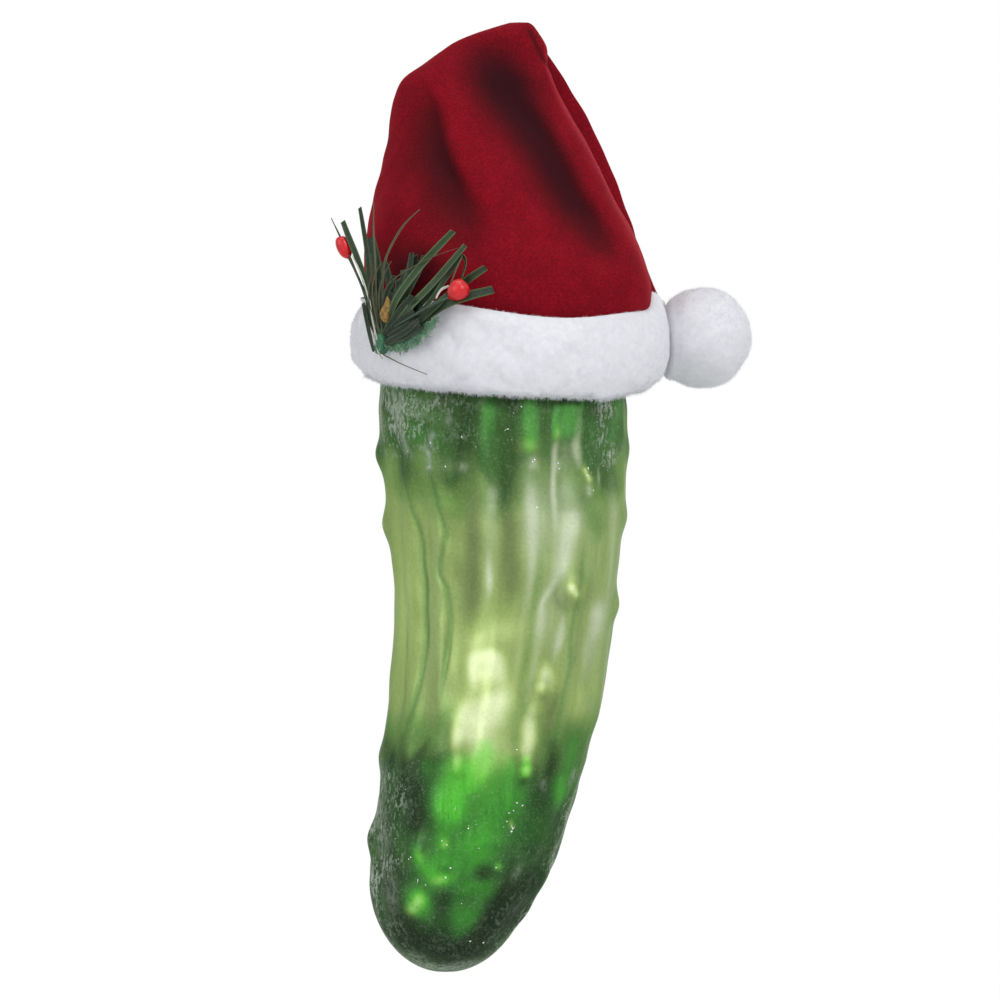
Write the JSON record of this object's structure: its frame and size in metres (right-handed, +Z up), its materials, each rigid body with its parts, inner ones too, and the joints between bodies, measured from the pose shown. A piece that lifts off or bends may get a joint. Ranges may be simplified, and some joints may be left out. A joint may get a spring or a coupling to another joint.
{
  "type": "pickle ornament",
  "caption": "Blown glass pickle ornament wearing a velvet hat with fleece cuff and pompom, a pine sprig with berries, and a capped neck with a wire hang loop inside the hat.",
  "frame": {"origin": "centre of the hang loop's eye, inside the hat", "axes": "+Z up, as the ornament hangs; -Y faces the viewer; +X to the viewer's right"},
  "size_m": [0.0568, 0.0437, 0.1272],
  "materials": {
    "lacquered_glass": "silvered, matte lacquer",
    "cap_metal": "bright, fluted",
    "steel_wire": "drawn",
    "red_velvet": "short pile",
    "white_fleece": "fuzzy",
    "red_thread": "spun",
    "white_thread": "spun",
    "hot_glue": "glossy",
    "stem_tape": "crepe tape",
    "needle_film": "slit film",
    "olive_film": "slit film",
    "leaf_film": "embossed film",
    "dried_scale": "dry",
    "berry_lacquer": "glossy",
    "berry_wire": "paper covered"
  },
  "bodies": {
    "hanger": {"hanger_wire": "steel_wire"},
    "ornament": {"glass_body": "lacquered_glass", "neck_cap": "cap_metal", "hat_crown": "red_velvet", "hat_cuff": "white_fleece", "hat_glue": "hot_glue", "seam_stitches": "red_thread", "hem_thread": "white_thread", "stem_wrap": "stem_tape", "sprig_glue": "hot_glue", "broad_needles": "needle_film", "short_needles": "needle_film", "fine_needles": "olive_film", "leaf_front": "leaf_film", "leaf_back": "needle_film", "cone_scale": "dried_scale", "berry_left": "berry_lacquer", "berry_right": "berry_lacquer", "berry_wire_left": "berry_wire", "berry_wire_right": "berry_wire", "loose_strand": "olive_film"},
    "tail": {"hat_tail": "red_velvet"},
    "pompom": {"pompom": "white_fleece", "pompom_thread": "white_thread"}
  },
  "joints": [
    {"name": "hanger_slide", "type": "slide", "parent": "hanger", "child": "ornament", "axis": [0, 0, 1], "range_m": [0, 0.003]},
    {"name": "tail_fold", "type": "hinge", "parent": "ornament", "child": "tail", "pos_m": [-0.00156, 0.0044, 0.01644], "axis": [0.9563, 0, 0.2924], "range_deg": [0, 110]},
    {"name": "pompom_swing", "type": "hinge", "parent": "tail", "child": "pompom", "pos_m": [0.02003, 0.00415, -0.01488], "axis": [0, -1, 0], "range_deg": [0, 60]}
  ]
}
